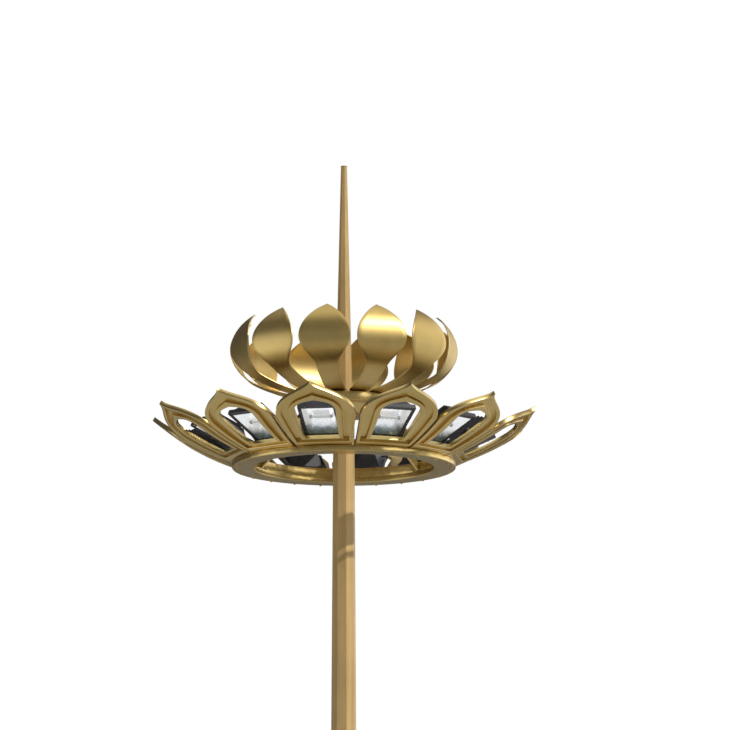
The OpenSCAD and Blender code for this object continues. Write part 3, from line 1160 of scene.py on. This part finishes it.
@dataclass
class Floodlight:
    """One of the tilting lamps behind the petal frames."""

    place: int
    pivot_r: float = 1.295465
    pivot_z: float = 15.322929
    slope: float = 25.656565
    lamp_w: float = 0.390
    lamp_l: float = 0.530
    front: float = 0.070
    depth: float = 0.110
    glass_border: Pair = (0.060, 0.040)
    glass_lap: float = 0.030
    glass_t: float = 0.006
    # Growth, corner radius, height over the front and wear of the bezel's rows.
    bezel_edge: Sequence[Sequence[float]] = (
        (-0.002, 0.018, 0.002, 0.0),
        (-0.003, 0.018, -0.001, 0.6),
        (-0.008, 0.016, -0.003, 0.6),
    )
    bezel_lip: Sequence[Sequence[float]] = (
        (0.014, 0.012, -0.003, 0.0),
        (0.006, 0.010, -0.001, 0.6),
        (-0.001, 0.008, 0.003, 0.0),
        (0.010, 0.010, 0.002, 0.0),
    )
    trough_border: float = 0.024
    trough_gap: float = 0.005
    trough_floor: float = 0.014
    trough_taper: float = 0.49
    trough_corner: float = 0.012
    trough_steps: int = 5
    tube_share: float = 0.33
    tube_place: float = -0.010
    tube_end: Profile = ((0.0132, 0.022), (0.0145, 0.034))
    tube_middle: Profile = ((0.0150, -0.03), (0.0150, 0.03))
    holder_inset: float = 0.012
    holder: Profile = (
        (0.0155, -0.014),
        (0.0185, -0.011),
        (0.0185, 0.004),
        (0.0155, 0.007),
        (0.0155, 0.014),
    )
    screw: Profile = ((0.0062, 0.0), (0.0062, 0.0018), (0.0048, 0.0034), (0.0022, 0.0040))
    screw_inset: Pair = (0.022, 0.016)
    screw_seat: float = 0.0028
    end_screws: Sequence[float] = (-0.12, 0.12)
    side_screws: Sequence[float] = (-0.17, 0.0, 0.17)
    trunnion_reach: float = 0.028
    trunnion_nut: Pair = (0.026, 0.011)
    gland_place: Triple = (-0.159, 0.0, 0.0785)
    gland_nut: Pair = (0.022, 0.008)
    gland_cap: Profile = ((0.0095, 0.0), (0.0095, 0.008), (0.0075, 0.013), (0.0045, 0.014))

    def __post_init__(self) -> None:
        """Works out the lamp's frame: X along the petal, Z backwards, origin on the axis."""
        self.tag = f"{self.place + 1:02d}"
        self.body = f"floodlight_{self.tag}"
        pivot = PETAL_TURNS[self.place] @ shift(self.pivot_r, 0, self.pivot_z)
        self.seat = pivot @ spin(-self.slope, "Y")

    def bezel(self) -> None:
        """Makes the eased front frame."""
        skin = Skin()
        lamp = (self.lamp_l, self.lamp_w)
        hole = [size - border - self.glass_lap for size, border in zip(lamp, self.glass_border)]
        rows = []
        for (length, width), table in ((lamp, self.bezel_edge), (hole, self.bezel_lip)):
            for grow, corner, rise, wear in table:
                shape = rounded_rectangle(length + grow, width + grow, corner, rise - self.front)
                rows.append(skin.loop((self.seat @ p for p in shape), wear))
        skin.loft(rows, ends=False)
        skin.piece(f"lamp_bezel_{self.tag}", SLATE, Slot.HOUSING, self.body)

    def reflector(self) -> None:
        """Makes the trough of bright sheet behind the glass."""
        skin = Skin()
        mouth = self.glass_t + self.trough_gap - self.front
        full_l = self.lamp_l - self.glass_border[0] - self.trough_border
        full_w = self.lamp_w - self.glass_border[1] - self.trough_border
        back = self.depth - self.trough_floor
        rows = []
        for i in range(self.trough_steps + 1):
            share = i / self.trough_steps
            scale = 1 - self.trough_taper * share
            shape = rounded_rectangle(
                full_l * scale, full_w * scale, self.trough_corner, mouth + back * share
            )
            rows.append(skin.loop(self.seat @ p for p in shape))
        for a, b in zip(rows, rows[1:]):
            skin.bridge(a, b)
        skin.faces.append(list(rows[-1]))
        skin.piece(f"lamp_reflector_{self.tag}", LINER, None, self.body, crease=FINE_CREASE)

    def tube(self) -> None:
        """Makes the lamp tube across the trough, and the holders at its ends."""
        glass, holders = Skin(), Skin()
        half = self.tube_share * (self.lamp_w - self.glass_border[1])
        axis = self.seat @ shift(0, 0, self.tube_place) @ spin(90, "X")
        near = [(radius, inset - half) for radius, inset in self.tube_end]
        far = [(radius, -place) for radius, place in reversed(near)]
        glass.turned(axis, [*near, *self.tube_middle, *far])
        for end in BOTH:
            holders.turned(axis @ shift(0, 0, end * (half - self.holder_inset)), self.holder)
        glass.piece(f"lamp_tube_{self.tag}", QUARTZ, None, self.body)
        holders.piece(f"lamp_holders_{self.tag}", ZINC, None, self.body)

    def fasteners(self) -> None:
        """Makes the screws round the front frame and the locking nuts on the trunnions."""
        skin = Skin()
        long_edge = self.lamp_l / 2 - self.screw_inset[0]
        wide_edge = self.lamp_w / 2 - self.screw_inset[1]
        spots = [(x, y) for x in (-long_edge, long_edge) for y in self.end_screws]
        spots += [(x, y) for x in self.side_screws for y in (-wide_edge, wide_edge)]
        for x, y in spots:
            at = self.seat @ shift(x, y, -self.front - self.screw_seat) @ DOWN
            skin.turned(at, self.screw, sides=16)
        outer = self.lamp_w / 2 + self.trunnion_reach
        for side in BOTH:
            at = self.seat @ shift(0, side * outer, 0) @ spin(-90 * side, "X")
            skin.hexagon(at, *self.trunnion_nut)
        skin.piece(f"lamp_screws_{self.tag}", ZINC, None, self.body)

    def gland(self) -> None:
        """Makes the cable gland on the housing's back, beside the foot of the fins."""
        skin = Skin()
        at = self.seat @ shift(*self.gland_place)
        skin.hexagon(at, *self.gland_nut)
        skin.turned(at @ shift(0, 0, self.gland_nut[1]), self.gland_cap, sides=20)
        skin.piece(f"lamp_gland_{self.tag}", SEAL, None, self.body)

    def build(self) -> None:
        """Dresses the lamp and adds what shows on it and through its glass."""
        dress(self.body, SLATE, FINE_EDGE, cast=True)
        dress(f"glass_{self.tag}", LENS)
        self.bezel()
        self.reflector()
        self.tube()
        self.fasteners()
        self.gland()


@dataclass
class LampRing:
    """The ring beam, the stays that hang it and the stirrups on it."""

    underside: float = 15.000
    top: float = 15.055
    petal_bolts: Pair = (1.075, 0.14)
    stirrup_bolts: Pair = (0.960, 0.12)
    stirrup_t: float = 0.0082
    bolt: float = 0.012
    bolt_tail: float = 0.006

    def build(self) -> None:
        """Dresses the ring and adds its fixings."""
        dress("ring_beam", GOLD, FINE_EDGE)
        dress("lamp_rail", GOLD, EDGE)
        dress("ring_stays", GOLD, BROAD_EDGE)
        dress("stirrups", SLATE)
        r, half = self.petal_bolts
        below = [shift(r, side * half, self.underside) @ DOWN for side in BOTH]
        r, half = self.stirrup_bolts
        above = [shift(r, side * half, self.top + self.stirrup_t) for side in BOTH]
        feet = Skin().fixings(PETAL_TURNS, below, self.bolt)
        feet.piece("petal_foot_bolts", GOLD)
        stirrups = Skin().fixings(PETAL_TURNS, above, self.bolt, self.bolt_tail)
        stirrups.piece("stirrup_bolts", ZINC)


@dataclass
class Crown:
    """The hub, the clamp over the petals' roots and the spire."""

    head_under: float = 15.514
    head_bolts_r: float = 0.165
    clamp_top: float = 15.7454
    clamp_bolts_r: float = 0.226
    flange_top: float = 15.7636
    flange_bolts_r: float = 0.118
    bolt: float = 0.016
    flange_bolt: float = 0.014
    bolt_tail: float = 0.008
    spire_length: float = 2.317
    spire_top: float = 0.058
    cap_lap: float = 0.006

    def cap(self) -> None:
        """Makes the cap on the spire's end."""
        skin = Skin()
        corner = (self.spire_top + self.cap_lap) / 2 / math.cos(math.radians(HALF_FLAT))
        profile = (
            (corner - 0.001, -0.004),
            (corner, -0.003),
            (corner, 0.001),
            (0.4 * corner, 0.006),
        )
        top = shift(0, 0, self.flange_top + self.spire_length)
        skin.turned(top @ spin(HALF_FLAT), profile, sides=FLATS)
        skin.piece("spire_cap", BRONZE, Slot.BRONZE, crease=FINE_CREASE)

    def build(self) -> None:
        """Dresses the crown and adds its bolts and the spire's cap."""
        dress("hub", GOLD, EDGE)
        dress("petal_clamp", GOLD, EDGE)
        dress("mast_head", BRONZE, EDGE)
        dress("spire", BRONZE, BROAD_EDGE)
        clamp = shift(self.clamp_bolts_r, 0, self.clamp_top)
        flange = shift(self.flange_bolts_r, 0, self.flange_top)
        head = shift(self.head_bolts_r, 0, self.head_under) @ DOWN
        for name, turns, spot, size in (
            ("clamp_bolts", PETAL_TURNS, clamp, self.bolt),
            ("spire_bolts", CORNER_TURNS, flange, self.flange_bolt),
            ("head_bolts", CORNER_TURNS, head, self.bolt),
        ):
            Skin().fixings(turns, [spot], size, self.bolt_tail).piece(name, ZINC)
        self.cap()


@dataclass
class MastShaft:
    """The two tapered octagonal sections and the seal between them."""

    top_width: float = 0.202
    taper: float = 0.011409
    top: float = 15.514
    splice: float = 7.000
    wall: float = 0.008
    fit: float = 0.0005
    round_edge: float = 0.006
    seal_bead: float = 0.0055
    seal_lap: float = 0.004
    seal_drop: float = 0.002
    seal_corner: float = 0.008

    def width(self, z: float) -> float:
        """Width across flats of the upper section at a height."""
        return self.top_width + self.taper * (self.top - z)

    def lower_width(self, z: float) -> float:
        """Width across flats of the lower section, which fits into the upper one."""
        return self.width(z) - 2 * (self.wall + self.fit)

    def octagon(self, across: float, z: float, corner: float = 0.010) -> list[Vector]:
        """Octagon with rounded corners.

        Args:
            across: Width across flats.
            z: Height.
            corner: Radius of its corners.

        Returns:
            Its points, counterclockwise.
        """
        out = []
        middle = (across / 2 - corner) / math.cos(math.radians(HALF_FLAT))
        for i in range(FLATS):
            base = polar(middle, HALF_FLAT + FLAT_PITCH * i, z)
            angles = (FLAT_PITCH * (i + j / OCTAGON_STEPS) for j in range(OCTAGON_STEPS + 1))
            out += [base + polar(corner, angle) for angle in angles]
        return out

    def build(self) -> None:
        """Dresses the shaft and adds its seal."""
        dress("mast_lower", BRONZE, self.round_edge)
        dress("mast_upper", BRONZE, self.round_edge)
        seal = Skin()
        across = self.width(self.splice) - 2 * self.wall + self.seal_lap
        lip = self.octagon(across, self.splice - self.seal_drop, self.seal_corner)
        seal.tube(lip, self.seal_bead, closed=True)
        seal.piece("splice_seal", SEAL)


@dataclass
class Footing:
    """The base plate with its gussets, anchor fixings, welds and access door."""

    shaft: MastShaft
    plate_t: float = 0.032
    anchor_circle: float = 0.565
    anchor_bolt: float = 0.036
    anchor_tail: float = 0.045
    gusset_height: float = 0.260
    gusset_reach: float = 0.115
    gusset_t: float = 0.014
    foot_bead: float = 0.007
    foot_step: float = 0.008
    foot_lift: float = 0.003
    gusset_bead: float = 0.005
    gusset_step: float = 0.009
    weld_off: float = 0.002
    door_middle: float = 0.880
    door_size: Pair = (0.132, 0.550)
    door_corner: float = 0.037
    door_seal: float = 0.0022
    door_seal_gap: float = 0.002
    door_seal_lift: float = 0.0018
    door_bolts: float = 0.220
    door_bolt_seat: float = 0.0122
    bolt_disc: Profile = ((0.0092, -0.001), (0.0092, 0.0008), (0.0080, 0.0016))
    bolt_key: Profile = ((0.0066, 0.001), (0.0066, 0.0065), (0.0056, 0.0075))

    def welds(self) -> None:
        """Makes the beads round the mast's foot and along the gussets."""
        skin, shaft, off = Skin(), self.shaft, self.weld_off
        low, high = self.plate_t, self.plate_t + self.gusset_height
        foot = shaft.octagon(shaft.lower_width(low) + 2 * off, low + self.foot_lift)
        ring = divided(foot + foot[:1], self.foot_step)[:-1]
        skin.tube(ring, self.foot_bead, closed=True)
        inner = shaft.lower_width(low) / 2
        top = shaft.lower_width(high) / 2
        for i in range(FLATS):
            turn = spin(FLAT_PITCH * i)
            for side in BOTH:
                y = side * (self.gusset_t + off) / 2
                corners = (
                    Vector((inner + self.gusset_reach, y, low + off / 2)),
                    Vector((inner + off, y, low + off)),
                    Vector((top + off, y, high - off)),
                )
                path = [turn @ p for p in divided(corners, self.gusset_step)]
                skin.tube(path, self.gusset_bead)
        skin.piece("foot_welds", SEAM, Slot.BRONZE)

    def door(self) -> None:
        """Makes the seal round the access door, and the keyed heads of its two bolts."""
        seal, heads = Skin(), Skin()
        lean = math.degrees(math.atan(self.shaft.taper / 2))
        face = shift(0, -self.shaft.lower_width(self.door_middle) / 2, self.door_middle)
        face = face @ spin(90 - lean, "X")
        width, height = [size + self.door_seal_gap for size in self.door_size]
        edge = rounded_rectangle(width, height, self.door_corner, self.door_seal_lift)
        seal.tube([face @ p for p in edge], self.door_seal, closed=True)
        for side in BOTH:
            at = face @ shift(0, side * self.door_bolts, self.door_bolt_seat)
            heads.turned(at, self.bolt_disc)
            heads.turned(at, self.bolt_key, sides=3)
        seal.piece("door_seal", SEAL)
        heads.piece("door_bolts", ZINC)

    def build(self) -> None:
        """Dresses the foot and adds its fixings, welds and seal."""
        dress("base_plate", BRONZE, EDGE)
        dress("base_gussets", BRONZE, FINE_EDGE)
        dress("access_door", BRONZE, EDGE)
        spot = shift(self.anchor_circle / 2, 0, self.plate_t)
        bolts = Skin().fixings(CORNER_TURNS, [spot], self.anchor_bolt, self.anchor_tail)
        bolts.piece("anchor_fixings", ZINC)
        self.welds()
        self.door()


@dataclass(frozen=True)
class Panel:
    """A round lit panel of the studio, seen only by gloss."""

    towards: Triple
    soft: float
    full: float
    level: float

    def light(self, graph: Graph, way: Sequence[Value]) -> Value:
        """The panel's light by direction.

        Args:
            graph: The world's graph.
            way: The direction's X, Y and Z.

        Returns:
            Nothing outside the panel, rising to its level between two cosines.
        """
        aim = Vector(self.towards).normalized()
        along = way[0] * aim.x + way[1] * aim.y + way[2] * aim.z
        return self.level * graph.ramp(along, self.soft, self.full)


@dataclass
class Studio:
    """Camera, key light, surroundings and floor."""

    distance: float = 85.0
    azimuth: float = 9.896
    side_step: float = 0.21175
    eye_height: float = 1.234
    pitch: float = 9.8875
    focal_pixels: float = 8602.0
    image_pixels: float = 730.0
    sensor: float = 36.0
    far_clip: float = 1000.0
    key_around: float = -24.0
    key_height: float = 38.0
    key_power: float = 2.3
    key_width: float = 0.8
    key_colour: Colour = (1.0, 0.965, 0.91)
    ambient: float = 0.18
    dim: float = 0.10
    # A band of light in front: its strength, its height, its edges and how far it reaches back.
    band: float = 0.20
    band_height: float = 0.12
    band_edges: Pair = (0.08, 0.30)
    band_back: Pair = (-0.9, -0.2)
    panels: Sequence[Panel] = (
        Panel((0.70, 0.70, 0.14), 0.76, 0.95, 1.25),
        Panel((0.86, -0.38, 0.35), 0.955, 0.985, 2.2),
        Panel((-0.93, -0.34, -0.15), 0.87, 0.97, 0.95),
        Panel((0.0, 0.0, 1.0), 0.72, 0.93, 0.80),
        Panel((0.0, 0.0, -1.0), 0.12, 0.50, 0.38),
    )
    floor_reach: float = 900.0
    floor_drop: float = 0.0005

    def place(self, name: str, data: bpy.types.ID) -> bpy.types.Object:
        """Adds an object to the scene.

        Args:
            name: Its name.
            data: Its camera, light or mesh.

        Returns:
            The new object.
        """
        made = bpy.data.objects.new(name, data)
        bpy.context.scene.collection.objects.link(made)
        return made

    def camera(self) -> None:
        """Sets the camera at the photograph's viewpoint."""
        data = bpy.data.cameras.new("view")
        data.sensor_width = self.sensor
        data.lens = self.focal_pixels * self.sensor / self.image_pixels
        data.clip_end = self.far_clip
        eye = self.place("view", data)
        a = math.radians(self.azimuth)
        eye.location = (
            self.distance * math.sin(a) + self.side_step * math.cos(a),
            -self.distance * math.cos(a) + self.side_step * math.sin(a),
            self.eye_height,
        )
        eye.rotation_euler = (math.radians(90 + self.pitch), 0.0, a)
        bpy.context.scene.camera = eye

    def key_light(self) -> None:
        """Key light from the right, which casts the ring's shadow on the mast."""
        data = bpy.data.lights.new("key", "SUN")
        data.energy = self.key_power
        data.angle = math.radians(self.key_width)
        data.color = self.key_colour
        height = math.radians(self.key_height)
        towards = polar(math.cos(height), self.key_around, math.sin(height))
        lamp = self.place("key", data)
        lamp.rotation_euler = towards.to_track_quat("Z", "Y").to_euler()

    def surroundings(self) -> None:
        """White backdrop for the camera, lit panels for gloss, plain light for the rest."""
        world = bpy.data.worlds.new("studio")
        world.use_nodes = True
        bpy.context.scene.world = world
        graph = Graph(world.node_tree)
        split = graph.add("SeparateXYZ", {0: graph.value("TexCoord", output="Generated")})
        way = [Value(graph, socket) for socket in split.outputs]
        rays = graph.add("LightPath").outputs
        camera, clear, gloss = [
            Value(graph, rays[f"Is {kind} Ray"]) for kind in ("Camera", "Transmission", "Glossy")
        ]
        seen = camera + clear
        level = 1.0 - graph.ramp(abs(way[2] - self.band_height), *self.band_edges)
        front = 1.0 - graph.ramp(way[1], *self.band_back)
        studio = self.dim + self.band * level * front
        for panel in self.panels:
            studio = studio + panel.light(graph, way)
        strength = seen + (1.0 - seen) * (gloss * studio + (1.0 - gloss) * self.ambient)
        white = (1.0, 1.0, 1.0, 1.0)
        shader = graph.value("Background", {"Color": white, "Strength": strength})
        graph.add("OutputWorld", {"Surface": shader})

    def floor(self) -> None:
        """Lays the pale floor."""
        mesh = bpy.data.meshes.new("floor")
        reach = self.floor_reach
        corners = [(x * reach, y * reach, 0) for x, y in ((-1, -1), (1, -1), (1, 1), (-1, 1))]
        mesh.from_pydata(corners, [], [(0, 1, 2, 3)])
        mesh.materials.append(FLOOR.material())
        made = self.place("floor", mesh)
        made.location.z = -self.floor_drop
        made.visible_glossy = False

    def build(self) -> None:
        """Sets up everything round the part."""
        bpy.context.scene.view_settings.view_transform = "Standard"
        self.camera()
        self.key_light()
        self.surroundings()
        self.floor()


def main() -> None:
    """Builds the studio and every sub-assembly in order."""
    logging.basicConfig(level=logging.INFO, format="%(name)s: %(message)s")
    Studio().build()
    shaft = MastShaft()
    shaft.build()
    Footing(shaft).build()
    LampRing().build()
    LowerWhorl().build()
    for place in range(PETALS):
        Floodlight(place).build()
    UpperWhorl().build()
    Crown().build()


if __name__ == "__main__":
    main()
